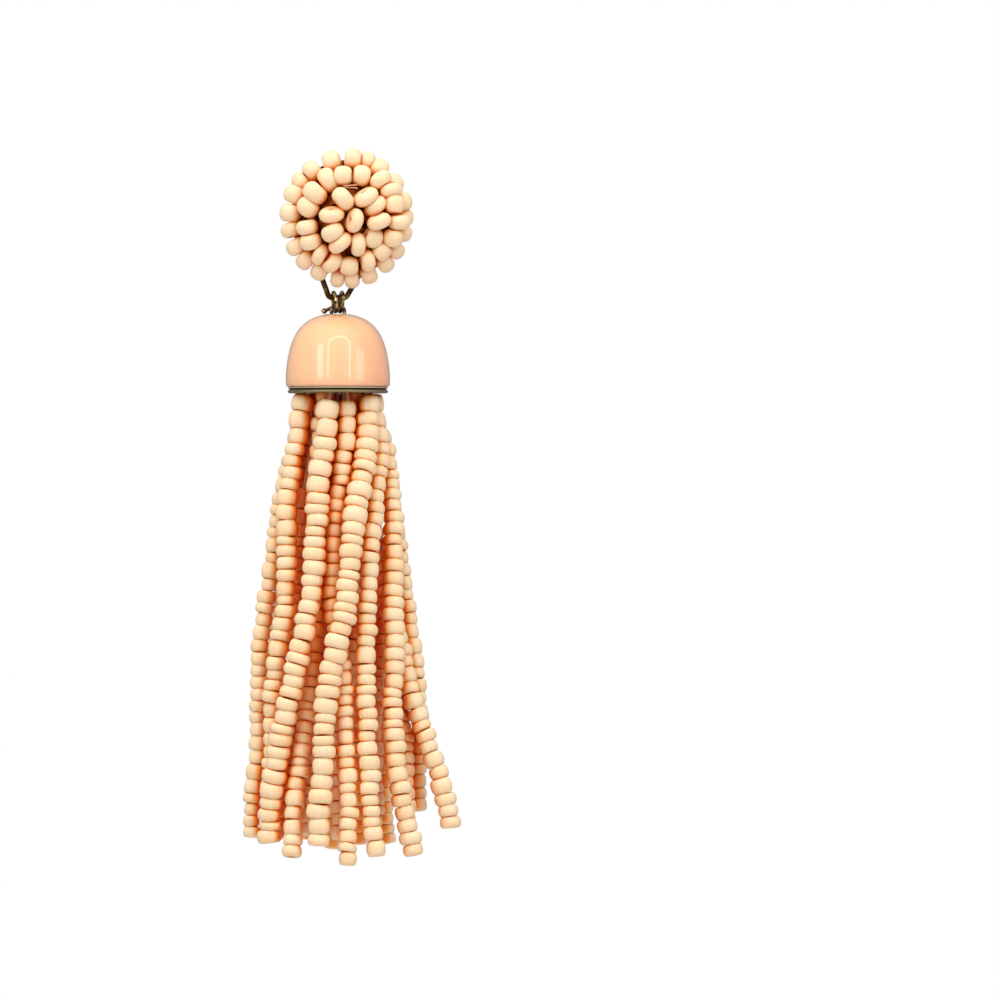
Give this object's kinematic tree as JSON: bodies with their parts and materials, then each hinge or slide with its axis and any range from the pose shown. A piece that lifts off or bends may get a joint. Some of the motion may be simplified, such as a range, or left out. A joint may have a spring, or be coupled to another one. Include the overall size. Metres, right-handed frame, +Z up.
{
  "type": "beaded tassel drop earring",
  "caption": "Pierced drop earring: a seed-bead button on a post stud, jump rings, an enamelled metal bell cap and a long tassel of strung seed beads",
  "frame": {"origin": "on the ear post's axis, at the back face of the stud's plate where it rests on the lobe", "axes": "+Z up along the hanging earring, +Y along the ear post towards the lobe and out of the back, the beaded button faces -Y, and +X is to the right when the button is faced"},
  "size_m": [0.0249, 0.0226, 0.0818],
  "materials": {
    "antique_gold": "dark antique gold plate, worn bright on the high edges",
    "peach_bead": "opaque glossy peach glass seed beads",
    "peach_enamel": "glossy peach enamel",
    "thread": "bound thread in the cap's shade"
  },
  "bodies": {
    "stud": {"stud_back": "antique_gold", "bead_sieve": "antique_gold", "bead_button": "peach_bead"},
    "links": {"jump_ring_1": "antique_gold", "jump_ring_2": "antique_gold"},
    "drop": {"eye_pin": "antique_gold", "cap_shell": "antique_gold", "cap_enamel": "peach_enamel", "tassel_head": "thread", "strand_01": "peach_bead", "strand_02": "peach_bead", "strand_03": "peach_bead", "strand_04": "peach_bead", "strand_05": "peach_bead", "strand_06": "peach_bead", "strand_07": "peach_bead", "strand_08": "peach_bead", "strand_09": "peach_bead", "strand_10": "peach_bead", "strand_11": "peach_bead", "strand_12": "peach_bead", "strand_13": "peach_bead", "strand_14": "peach_bead", "strand_15": "peach_bead", "strand_16": "peach_bead", "strand_17": "peach_bead", "strand_18": "peach_bead", "strand_19": "peach_bead", "strand_20": "peach_bead"}
  },
  "joints": [
    {"name": "ring_swing", "type": "hinge", "parent": "stud", "child": "links", "pos_m": [-0.0012, -0.0004, -0.00922], "axis": [1, 0, 0], "range_deg": [-40, 60]},
    {"name": "drop_swing", "type": "hinge", "parent": "links", "child": "drop", "pos_m": [-0.0012, -0.0004, -0.01086], "axis": [0, -1, 0], "range_deg": [-35, 35]}
  ]
}
